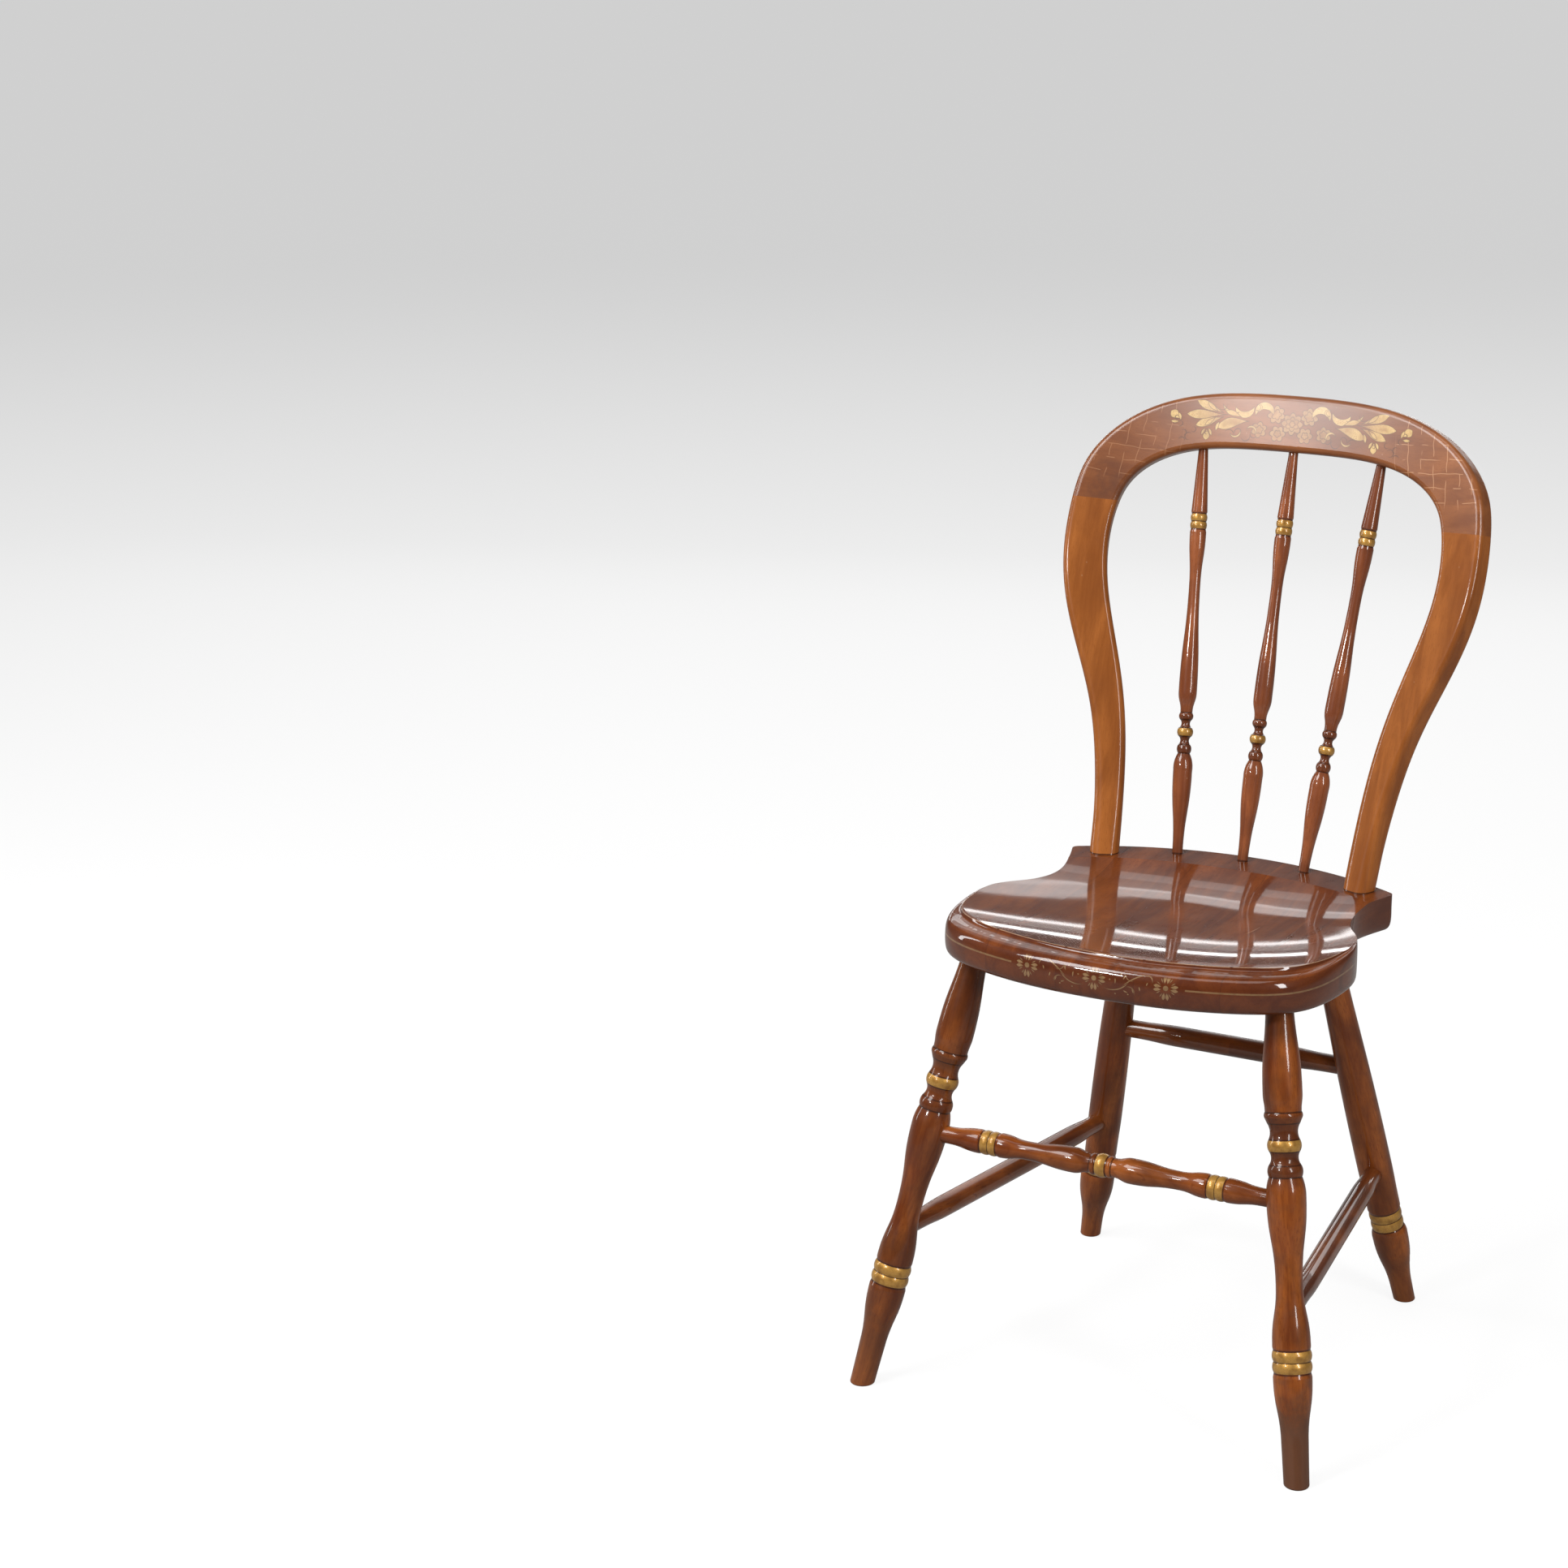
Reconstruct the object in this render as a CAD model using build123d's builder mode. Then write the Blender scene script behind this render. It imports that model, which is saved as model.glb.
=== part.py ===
from build123d import *
import math
import os
from collections import namedtuple
from itertools import pairwise

os.makedirs("parts", exist_ok=True)

# Balloon-back side chair with a solid plank seat, turned legs and spindles. Millimetres, +Z up,
# -Y to the front, +X to the right as seen from the front, origin on the floor under the middle.

# ---- fits ----
socket_clearance = 0.1  # radial, between a round tenon or dowel and its socket
socket_end_gap = 0.6  # between the end of a tenon and the bottom of its socket

# ---- seat plank ----
seat_height = 446.0  # flat ledge behind the sitter, above the floor
plank_thickness = 35.0  # ledge down to the underside
rim_rise = 4.0  # front rim above the ledge
board_width = 76.0  # the plank is glued up from boards running front to back
joined_boards = 3  # full boards between the two outer ones

# ---- seat plan, right half: the rolled apron's face, and the rim above it ----
apron_front = (0.0, -221.0)
apron_shoulder = (120.0, -203.0)
apron_corner = (171.5, -169.5)
apron_side = (190.0, -105.0)
rim_front = (0.0, -199.0)
rim_shoulder = (105.0, -182.0)
rim_corner = (164.0, -150.0)
rim_side = (182.0, -93.0)
flank = (167.0, -12.0)  # where the roll dies out
waist = (151.0, 37.0)
flank_direction = (-0.52, 0.85)
ear_direction = (0.34, 0.94)
ear_half_width = 166.5
ear_round = 7.0
rear_edge = 152.0
rear_bow_radius = 310.0

# ---- seat edge section ----
roll_under_height = 10.0  # rounding under the apron
roll_under_setback = 0.45  # how far it goes back, from the apron's face (0) to the rim (1)
roll_under_tuck = 6.0  # how far the same rounding goes in along the back and the ears
roll_top_height = 12.0
roll_top_setback = 0.5
cove_height = 4.5
# the cove between roll and rim: share of its height, and setback there
cove_steps = ((0.1, 0.80), (0.35, 0.93), (0.7, 0.98), (1.0, 1.0))

# ---- dished top ----
dish_depth = 16.0
dish_centre = 2.0  # distance of the deepest line behind the origin
dish_half_width = 206.0  # past the sides, where the rim dips
dish_front_reach = 201.0
dish_back_reach = 113.5
dish_front_squareness = 2.6
dish_back_squareness = 2.2
dish_front_slope = 2.5
dish_side_slope = 3.0
# shares of the depth at its sections
dish_steps = (-0.4, 0.0, 0.15, 0.35, 0.6, 0.8, 0.92, 0.98, 0.995)

# ---- legs ----
front_foot = (218.0, -245.5)
front_leg_head = (149.6, -151.2)  # where the leg's centre line meets the underside of the seat
rear_foot = (171.5, 182.0)
rear_leg_head = (96.7, 94.8)
leg_tenon_diameter = 21.0
leg_tenon_length = 24.0
foot_round = 1.5

# ---- stretchers ----
front_stretcher_height = 243.0
rear_stretcher_height = 256.0
side_stretcher_front_height = 150.0
side_stretcher_rear_height = 144.0
stretcher_past_centre = 5.0  # how far a stretcher's end goes past the leg's centre line
stretcher_end_length = 22.0  # straight end of a stretcher, short of the leg's centre line
front_stretcher_end_radius = 8.2
rod_end_radius = 9.0
rod_middle_radius = 10.4
rod_taper = 50.0

# ---- back: a balloon of two posts and a crest rail, laid out on a raked, bowed sheet ----
back_rake = 14.5  # degrees
back_line = 132.0  # where the middle of the back meets the ledge
back_bend = 5.0
bow_at_seat = 0.00172  # 1/(2 x radius of the sheet), 1/mm
bow_at_top = 0.00053
bow_span = 430.0  # rise along the rake at which the sheet has its top bow
post_foot = (130.5, -14.0)
post_shin = (133.9, 35.0)
post_ankle = (138.4, 80.0)
post_knee = (150.4, 145.0)
post_calf = (172.3, 213.0)
post_swell = (191.2, 290.0)
crest_end = (190.1, 340.0)
crest_corner = (176.9, 379.1)
crest_haunch = (125.7, 416.0)
crest_flat = (68.0, 427.2)
crest_middle = (0.0, 428.9)
post_widths = (27.5, 28.2, 29.6, 33.6, 40.0, 43.2)
crest_widths = (44.6, 48.4, 51.6, 53.8, 54.8)
back_thickness = 23.0
post_foot_thickness = 25.0
back_edge_round = 6.0
post_foot_round = 11.0
crest_joint_rise = 337.0
post_tenon_diameter = 19.0
post_tenon_length = 28.0
dowel_diameter = 8.0
dowel_length = 36.0
dowel_spacing = 18.0

# ---- spindles ----
spindle_foot_spacing = 65.5
spindle_head_spacing = 91.4
spindle_head_rise = 398.0
spindle_foot_offset = 4.5  # behind the middle of the sheet
spindle_head_offset = 1.5
spindle_seat_tenon = 20.0
spindle_crest_tenon = 15.0

rim_height = seat_height + rim_rise
roll_top = rim_height - cove_height
underside = seat_height - plank_thickness
far = 600.0  # larger than the chair, for cutting tools

# ---- turnings ----
# A turning is a row of stations along its centre line. Each tells how the surface reaches it:
# swell is a long S-curve, a number is the bulge of an arc, 0 a straight taper.
Turn = namedtuple("Turn", "place radius shape")
swell = None
taper = 0.0
bead = 1.3
fine_bead = 0.9
cove = -2.0

front_leg_turning = [
    Turn(-9.0, 11.3, taper),
    Turn(36.0, 12.2, taper),
    Turn(97.0, 17.5, swell),
    Turn(101.0, 16.6, taper),
    Turn(111.0, 16.6, bead),
    Turn(121.0, 16.6, bead),
    Turn(124.0, 17.2, taper),
    Turn(180.0, 12.1, swell),
    Turn(257.0, 17.8, swell),
    Turn(275.0, 14.9, fine_bead),
    Turn(285.5, 14.4, bead),
    Turn(298.0, 14.1, cove),
    Turn(308.0, 14.1, bead),
    Turn(323.0, 14.9, cove),
    Turn(327.0, 16.6, taper),
    Turn(333.0, 16.4, fine_bead),
    Turn(350.0, 17.7, swell),
]
front_leg_head_radius = 12.4

rear_leg_turning = [
    Turn(-9.0, 10.3, taper),
    Turn(15.0, 10.8, taper),
    Turn(75.0, 17.5, swell),
    Turn(86.0, 15.3, fine_bead),
    Turn(95.5, 15.2, fine_bead),
    Turn(105.0, 15.4, fine_bead),
    Turn(108.0, 16.3, taper),
    Turn(160.0, 17.0, swell),
]
rear_leg_head_radius = 13.0

spindle_turning = [
    Turn(0.0, 5.1, taper),
    Turn(82.0, 9.4, swell),
    Turn(99.0, 5.9, bead),
    Turn(107.5, 5.9, bead),
    Turn(116.0, 6.6, cove),
    Turn(124.0, 6.6, bead),
    Turn(132.0, 5.7, cove),
    Turn(139.0, 5.9, bead),
    Turn(160.0, 9.0, swell),
    Turn(265.0, 5.5, swell),
    Turn(317.0, 8.0, swell),
    Turn(320.0, 7.3, taper),
    Turn(327.5, 7.3, fine_bead),
    Turn(335.0, 7.3, fine_bead),
    Turn(337.0, 7.9, taper),
]
spindle_head_radius = 4.6

# right half of the front stretcher, from its middle
front_stretcher_turning = [
    Turn(4.8, 9.9, bead),
    Turn(5.8, 9.2, taper),
    Turn(10.4, 9.2, fine_bead),
    Turn(11.4, 8.8, taper),
    Turn(29.0, 11.9, swell),
    Turn(76.0, 8.6, swell),
    Turn(102.0, 11.5, swell),
    Turn(105.0, 10.6, taper),
    Turn(112.7, 10.6, fine_bead),
    Turn(120.4, 10.6, fine_bead),
    Turn(123.0, 11.3, taper),
]


# ---- shared helpers ----
def point(plan, height):
    return Vector(plan[0], plan[1], height)


def mirrored(place):
    return Vector(-place.X, place.Y, place.Z)


def along(start, end, height):
    # the point at a height on the line through two points
    return start + (end - start) * ((height - start.Z) / (end.Z - start.Z))


def turning_plane(start, end):
    # local y runs from start to end, local x is the radius
    direction = (end - start).normalized()
    reference = Vector(0, 0, 1) if abs(direction.Z) < 0.7 else Vector(0, 1, 0)
    across = direction.cross(reference).normalized()
    return Plane(origin=start, x_dir=across, z_dir=across.cross(direction))


def turn(start, end, stations):
    # adds the turned solid whose stations are measured from start towards end
    with BuildSketch(turning_plane(start, end)) as profile:
        with BuildLine():
            first, last = stations[0], stations[-1]
            Polyline((0, last.place), (0, first.place), (first.radius, first.place))
            for here, there in pairwise(stations):
                low, high = (here.radius, here.place), (there.radius, there.place)
                middle = (here.place + there.place) / 2
                if there.shape is swell:
                    Bezier(low, (here.radius, middle), (there.radius, middle), high)
                elif there.shape == taper:
                    Line(low, high)
                else:
                    ThreePointArc(low, ((here.radius + there.radius) / 2 + there.shape, middle), high)
            Line((last.radius, last.place), (0, last.place))
        make_face()
    revolve(profile.sketch, axis=Axis(start, end - start))


def drill(mouth, bottom, diameter):
    # cuts a round socket, open at the mouth
    with BuildSketch(Plane(origin=mouth, z_dir=bottom - mouth)) as hole:
        Circle(diameter / 2 + socket_clearance)
    extrude(hole.sketch, amount=(bottom - mouth).length, mode=Mode.SUBTRACT)


def pin(start, end, diameter):
    # adds a round bar
    with BuildSketch(Plane(origin=start, z_dir=end - start)) as disc:
        Circle(diameter / 2)
    extrude(disc.sketch, amount=(end - start).length)


def beyond(start, end, distance):
    # the point past end on the line from start
    return end + (end - start).normalized() * distance


# ---- centre lines ----
def leg_line(foot, head):
    return point(foot, 0), point(head, underside)


def back_sheet(side, rise):
    # a place on the raked and bowed sheet that runs through the middle of the back
    bow = bow_at_seat + (bow_at_top - bow_at_seat) * rise / bow_span
    bend = back_bend * 4 * rise * (bow_span - rise) / bow_span**2
    lean = math.radians(back_rake)
    return Vector(
        side,
        back_line + rise * math.sin(lean) + bend - bow * side**2,
        seat_height + rise * math.cos(lean),
    )


def spindle_line(order):
    # order is -1, 0 or 1
    foot = back_sheet(order * spindle_foot_spacing, 0)
    head = back_sheet(order * spindle_head_spacing, spindle_head_rise)
    return foot + Vector(0, spindle_foot_offset, 0), head + Vector(0, spindle_head_offset, 0)


front_leg = leg_line(front_foot, front_leg_head)
rear_leg = leg_line(rear_foot, rear_leg_head)
front_stretcher_end = along(*front_leg, front_stretcher_height)
rear_stretcher_end = along(*rear_leg, rear_stretcher_height)
side_stretcher_front = along(*front_leg, side_stretcher_front_height)
side_stretcher_rear = along(*rear_leg, side_stretcher_rear_height)
joint_plane = Plane(
    origin=back_sheet(0, crest_joint_rise),
    z_dir=(0, math.sin(math.radians(back_rake)), math.cos(math.radians(back_rake))),
)


# ---- back balloon ----
def bow_outline():
    # stations of the right half from the seat to the middle of the crest:
    # place on the sheet, width in it, thickness, corner radius
    posts = [post_foot, post_shin, post_ankle, post_knee, post_calf, post_swell]
    crest = [crest_end, crest_corner, crest_haunch, crest_flat, crest_middle]
    stations = []
    for place, width in zip(posts, post_widths):
        share = max(0.0, min(1.0, place[1] / post_calf[1]))
        thickness = post_foot_thickness + (back_thickness - post_foot_thickness) * share
        corner = post_foot_round + (back_edge_round - post_foot_round) * math.sqrt(share)
        stations.append((place, width, thickness, corner))
    for place, width in zip(crest, crest_widths):
        stations.append((place, width, back_thickness, back_edge_round))
    return stations


def bow_plane(path, place):
    # section plane across the path at a place on the sheet
    where = path.param_at_point(place)
    step = path.tangent_at(where) * 0.5
    origin = back_sheet(place[0], place[1])
    ahead = back_sheet(place[0] + step.X, place[1] + step.Y) - origin
    aside = back_sheet(place[0] - step.Y, place[1] + step.X) - origin
    return Plane(origin=origin, x_dir=aside, z_dir=ahead)


right_half = bow_outline()
left_half = [((-place[0], place[1]), *sizes) for place, *sizes in reversed(right_half[:-1])]
balloon_stations = right_half + left_half
with BuildLine(mode=Mode.PRIVATE) as balloon_line:
    Spline(*[station[0] for station in balloon_stations])
balloon_path = balloon_line.edge()

with BuildPart() as balloon:
    for place, width, thickness, corner in balloon_stations:
        with BuildSketch(bow_plane(balloon_path, place)):
            RectangleRounded(width, thickness, corner)
    loft()
    split(bisect_by=Plane.XY.offset(seat_height), keep=Keep.TOP)

post_axis = bow_plane(balloon_path, post_foot).z_dir
post_seat_point = along(back_sheet(*post_foot), back_sheet(*post_foot) + post_axis, seat_height)
post_tenon_end = post_seat_point - post_axis * post_tenon_length
post_tenon_root = post_seat_point + post_axis * post_foot_thickness / 2


# ---- sockets ----
def drill_spindle_feet():
    for order in (-1, 0, 1):
        foot, head = spindle_line(order)
        depth = spindle_seat_tenon + socket_end_gap
        drill(beyond(head, foot, -depth), beyond(head, foot, depth), 2 * spindle_turning[0].radius)


def drill_spindle_heads():
    for order in (-1, 0, 1):
        foot, head = spindle_line(order)
        depth = spindle_crest_tenon + socket_end_gap
        drill(beyond(foot, head, -depth), beyond(foot, head, depth), 2 * spindle_head_radius)


def drill_posts():
    for side in (Vector, mirrored):
        top, end = side(post_tenon_root), side(post_tenon_end)
        drill(top, beyond(top, end, socket_end_gap), post_tenon_diameter)


def drill_leg_heads():
    for foot, head in (front_leg, rear_leg):
        for side in (Vector, mirrored):
            start, end = side(foot), side(head)
            depth = leg_tenon_length + socket_end_gap
            drill(beyond(start, end, -depth), beyond(start, end, depth), leg_tenon_diameter)


def dowel_line(side, order):
    # centre line of a dowel between post and crest: side and order are -1 or 1
    edge = crest_widths[0] / 2
    middle = side * (crest_end[0] + order * min(dowel_spacing / 2, edge - dowel_diameter))
    centre = back_sheet(middle, crest_joint_rise)
    half = joint_plane.z_dir * dowel_length / 2
    return centre - half, centre + half


def drill_dowels(side):
    for order in (-1, 1):
        low, high = dowel_line(side, order)
        drill(beyond(high, low, socket_end_gap), beyond(low, high, socket_end_gap), dowel_diameter)


# ---- seat ----
def mix(first, second, share):
    return tuple(a + (b - a) * share for a, b in zip(first, second))


def seat_plan(height, setback, tuck=0.0):
    # setback runs from the apron's face (0) to the rim (1), tuck pulls the back and the ears in
    front = mix(apron_front, rim_front, setback)
    shoulder = mix(apron_shoulder, rim_shoulder, setback)
    corner = mix(apron_corner, rim_corner, setback)
    side = mix(apron_side, rim_side, setback)
    ear_x = ear_half_width - tuck
    rear = rear_edge - tuck
    ear = (ear_x, rear - rear_bow_radius + math.sqrt(rear_bow_radius**2 - ear_x**2))
    turn_in = (waist[0] - tuck, waist[1])
    with BuildSketch(Plane.XY.offset(height)) as plan:
        with BuildLine():
            Spline(front, shoulder, corner, side, flank, tangents=((1, 0), flank_direction))
            Spline(flank, turn_in, ear, tangents=(flank_direction, ear_direction))
            mirror(about=Plane.YZ)
            ThreePointArc(ear, (0, rear), (-ear_x, ear[1]))
        make_face()
        fillet(plan.vertices().sort_by(Axis.Y)[-2:], radius=ear_round)
    return plan.sketch


def dish_plan(share):
    # outline of the dished hollow at a share of its depth: squarish, gentler towards the front
    side = (1 - share) ** (1 / dish_side_slope)
    front = (1 - share) ** (1 / dish_front_slope)
    places = []
    for angle in range(0, 360, 20):
        across, ahead = math.cos(math.radians(angle)), math.sin(math.radians(angle))
        reach = dish_back_reach * side if ahead > 0 else dish_front_reach * front
        squareness = dish_back_squareness if ahead > 0 else dish_front_squareness
        x = math.copysign(abs(across) ** (2 / squareness), across) * dish_half_width * side
        y = math.copysign(abs(ahead) ** (2 / squareness), ahead) * reach
        places.append((x, dish_centre + y))
    with BuildSketch(Plane.XY.offset(rim_height - dish_depth * share)) as plan:
        with BuildLine():
            Spline(*places, periodic=True)
        make_face()
    return plan.sketch


def seat_edge_plans():
    # outlines up the edge of the plank: rounding, face, roll, and the cove up to the rim
    quarter = [math.radians(angle) for angle in (90, 60, 30, 0)]
    plans = []
    for angle in quarter:
        back = 1 - math.cos(angle)
        height = underside + roll_under_height * (1 - math.sin(angle))
        plans.append(seat_plan(height, roll_under_setback * back, roll_under_tuck * back))
    for angle in reversed(quarter):
        height = roll_top - roll_top_height * (1 - math.sin(angle))
        plans.append(seat_plan(height, roll_top_setback * (1 - math.cos(angle))))
    for rise, setback in cove_steps:
        plans.append(seat_plan(roll_top + rise * cove_height, setback))
    return plans


with BuildPart() as seat_plank:
    loft(seat_edge_plans())
    loft([dish_plan(share) for share in dish_steps], mode=Mode.SUBTRACT)
    with BuildSketch(Plane.XY.offset(seat_height)):
        with Locations((0, dish_centre)):
            Rectangle(far, far, align=(Align.CENTER, Align.MIN))
    extrude(amount=far, mode=Mode.SUBTRACT)
    drill_leg_heads()
    drill_spindle_feet()
    drill_posts()


def board_edges(order):
    # the outer boards reach as far as the plank does
    last = (joined_boards + 1) // 2
    low = -far if order == -last else (order - 0.5) * board_width
    high = far if order == last else (order + 0.5) * board_width
    return low, high


def make_board(order, name):
    low, high = board_edges(order)
    with BuildPart() as board:
        add(seat_plank.part)
        with BuildSketch():
            with Locations(((low + high) / 2, 0)):
                Rectangle(high - low, far * 2)
        extrude(amount=far * 2, mode=Mode.INTERSECT)
    board.part.label = name
    export_step(board.part, f"parts/{name}.step")


# ---- legs ----
def make_leg(line, stations, head_radius, side, sockets, name):
    foot, head = (side(end) for end in line)
    length = (head - foot).length
    with BuildPart() as leg:
        turn(foot, head, stations + [Turn(length + leg_tenon_length / 2, head_radius, swell)])
        split(bisect_by=Plane.XY, keep=Keep.TOP)
        split(bisect_by=Plane.XY.offset(underside), keep=Keep.BOTTOM)
        fillet(leg.edges().group_by(Axis.Z)[0], radius=foot_round)
        pin(beyond(foot, head, -leg_tenon_length), beyond(foot, head, leg_tenon_length), leg_tenon_diameter)
        for inner, outer, radius in sockets:
            mouth, bottom = side(inner), beyond(side(inner), side(outer), stretcher_past_centre)
            drill(mouth, beyond(mouth, bottom, socket_end_gap), 2 * radius)
    leg.part.label = name
    export_step(leg.part, f"parts/{name}.step")


# ---- stretchers ----
def rod_turning(length, end_radius, middle_radius):
    return [
        Turn(-stretcher_past_centre, end_radius, taper),
        Turn(stretcher_end_length, end_radius, taper),
        Turn(stretcher_end_length + rod_taper, middle_radius, swell),
        Turn(length - stretcher_end_length - rod_taper, middle_radius, taper),
        Turn(length - stretcher_end_length, end_radius, swell),
        Turn(length + stretcher_past_centre, end_radius, taper),
    ]


def make_rod(start, end, name):
    with BuildPart() as rod:
        turn(start, end, rod_turning((end - start).length, rod_end_radius, rod_middle_radius))
    rod.part.label = name
    export_step(rod.part, f"parts/{name}.step")


def make_front_stretcher(name):
    half = front_stretcher_end.X
    ends = [
        Turn(half - stretcher_end_length, front_stretcher_end_radius, swell),
        Turn(half + stretcher_past_centre, front_stretcher_end_radius, taper),
    ]
    right = front_stretcher_turning + ends
    with BuildPart() as stretcher:
        middle = Vector(0, front_stretcher_end.Y, front_stretcher_end.Z)
        centre_bead = Turn(-right[0].place, right[0].radius, taper)
        turn(middle, front_stretcher_end, [centre_bead] + right)
        mirror(about=Plane.YZ)
    stretcher.part.label = name
    export_step(stretcher.part, f"parts/{name}.step")


# ---- back pieces ----
def make_post(side, name):
    keep = Keep.TOP if side > 0 else Keep.BOTTOM
    place = Vector if side > 0 else mirrored
    with BuildPart() as post:
        add(balloon.part)
        split(bisect_by=joint_plane, keep=Keep.BOTTOM)
        split(bisect_by=Plane.YZ, keep=keep)
        pin(place(post_tenon_root), place(post_tenon_end), post_tenon_diameter)
        drill_dowels(side)
    post.part.label = name
    export_step(post.part, f"parts/{name}.step")


def make_crest(name):
    with BuildPart() as crest:
        add(balloon.part)
        split(bisect_by=joint_plane, keep=Keep.TOP)
        drill_dowels(-1)
        drill_dowels(1)
        drill_spindle_heads()
    crest.part.label = name
    export_step(crest.part, f"parts/{name}.step")


def make_dowels(side, name):
    with BuildPart() as dowels:
        for order in (-1, 1):
            pin(*dowel_line(side, order), dowel_diameter)
    dowels.part.label = name
    export_step(dowels.part, f"parts/{name}.step")


def make_spindle(order, name):
    foot, head = spindle_line(order)
    length = (head - foot).length
    first = spindle_turning[0]
    ends = [
        Turn(length, spindle_head_radius, taper),
        Turn(length + spindle_crest_tenon, spindle_head_radius, taper),
    ]
    with BuildPart() as spindle:
        turn(foot, head, [Turn(-spindle_seat_tenon, first.radius, taper)] + spindle_turning + ends)
    spindle.part.label = name
    export_step(spindle.part, f"parts/{name}.step")


board_names = {-2: "seat_board_outer_left", -1: "seat_board_left", 0: "seat_board_centre"}
board_names |= {1: "seat_board_right", 2: "seat_board_outer_right"}
for order, name in board_names.items():
    make_board(order, name)

left_of = mirrored
right_of = Vector
front_sockets = [
    (mirrored(front_stretcher_end), front_stretcher_end, front_stretcher_end_radius),
    (side_stretcher_rear, side_stretcher_front, rod_end_radius),
]
rear_sockets = [
    (mirrored(rear_stretcher_end), rear_stretcher_end, rod_end_radius),
    (side_stretcher_front, side_stretcher_rear, rod_end_radius),
]
for side, word in ((left_of, "left"), (right_of, "right")):
    make_leg(front_leg, front_leg_turning, front_leg_head_radius, side, front_sockets, f"front_{word}_leg")
    make_leg(rear_leg, rear_leg_turning, rear_leg_head_radius, side, rear_sockets, f"rear_{word}_leg")
    make_rod(side(side_stretcher_front), side(side_stretcher_rear), f"{word}_side_stretcher")
make_front_stretcher("front_stretcher")
make_rod(mirrored(rear_stretcher_end), rear_stretcher_end, "rear_stretcher")

for side, word in ((-1, "left"), (1, "right")):
    make_post(side, f"{word}_back_post")
    make_dowels(side, f"{word}_crest_dowels")
make_crest("crest_rail")
for order, word in ((-1, "left"), (0, "centre"), (1, "right")):
    make_spindle(order, f"{word}_spindle")
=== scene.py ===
import bpy
import math
from mathutils import Matrix, Vector

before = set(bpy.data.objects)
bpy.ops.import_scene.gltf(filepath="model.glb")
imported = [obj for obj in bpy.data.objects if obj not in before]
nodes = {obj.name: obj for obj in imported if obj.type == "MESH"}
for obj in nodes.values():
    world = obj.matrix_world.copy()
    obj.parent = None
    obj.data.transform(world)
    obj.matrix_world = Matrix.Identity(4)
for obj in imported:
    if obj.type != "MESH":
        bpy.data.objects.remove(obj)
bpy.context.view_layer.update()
bpy.ops.object.select_all(action="DESELECT")
print("frame loaded", len(nodes), "nodes")


def put(tree, kind, inputs=None, **settings):
    node = tree.nodes.new(kind)
    for name, value in settings.items():
        setattr(node, name, value)
    for name, value in (inputs or {}).items():
        feed(tree, node.inputs[name], value)
    return node


def feed(tree, socket, value):
    if isinstance(value, bpy.types.NodeSocket):
        tree.links.new(value, socket)
    else:
        socket.default_value = value


def calc(tree, operation, *values, clamp=False):
    node = put(tree, "ShaderNodeMath", operation=operation, use_clamp=clamp)
    for socket, value in zip(node.inputs, values):
        feed(tree, socket, value)
    return node.outputs[0]


def product(tree, first, second):
    return calc(tree, "MULTIPLY", first, second)


def vecCalc(tree, operation, *values):
    node = put(tree, "ShaderNodeVectorMath", operation=operation)
    for socket, value in zip(node.inputs, values):
        feed(tree, socket, value)
    return node.outputs["Value" if operation in ("DOT_PRODUCT", "LENGTH") else "Vector"]


def split(tree, vector):
    node = put(tree, "ShaderNodeSeparateXYZ", {"Vector": vector})
    return node.outputs[0], node.outputs[1], node.outputs[2]


def combine(tree, x, y, z):
    return put(tree, "ShaderNodeCombineXYZ", {"X": x, "Y": y, "Z": z}).outputs[0]


def ramp(tree, value, low, high, toLow=0.0, toHigh=1.0):
    node = put(tree, "ShaderNodeMapRange", interpolation_type="SMOOTHSTEP", clamp=True)
    given = {"Value": value, "From Min": low, "From Max": high, "To Min": toLow, "To Max": toHigh}
    for name, amount in given.items():
        feed(tree, node.inputs[name], amount)
    return node.outputs[0]


def mixNumber(tree, share, first, second):
    node = put(tree, "ShaderNodeMix", data_type="FLOAT")
    for index, value in ((0, share), (2, first), (3, second)):
        feed(tree, node.inputs[index], value)
    return node.outputs[0]


def blend(tree, share, first, second):
    node = put(tree, "ShaderNodeMix", data_type="RGBA")
    for index, value in ((0, share), (6, first), (7, second)):
        feed(tree, node.inputs[index], value)
    return node.outputs[2]


def noise(tree, vector, scale, detail=3.0, roughness=0.5, distortion=0.0):
    return put(tree, "ShaderNodeTexNoise", {
        "Vector": vector, "Scale": scale, "Detail": detail, "Roughness": roughness, "Distortion": distortion,
    }).outputs[0]


def newGroup(name, inputs, outputs):
    # inputs and outputs: label -> default (number, colour, or vector)
    group = bpy.data.node_groups.new(name, "ShaderNodeTree")
    for side, table in (("INPUT", inputs), ("OUTPUT", outputs)):
        for label, default in table.items():
            kind = "NodeSocketFloat"
            if isinstance(default, tuple):
                kind = "NodeSocketColor" if len(default) == 4 else "NodeSocketVector"
            socket = group.interface.new_socket(name=label, in_out=side, socket_type=kind)
            socket.default_value = default
    return group, group.nodes.new("NodeGroupInput").outputs, group.nodes.new("NodeGroupOutput").inputs


def useGroup(tree, group, **inputs):
    node = tree.nodes.new("ShaderNodeGroup")
    node.node_tree = group
    for name, value in inputs.items():
        feed(tree, node.inputs[name], value)
    return node.outputs


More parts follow.
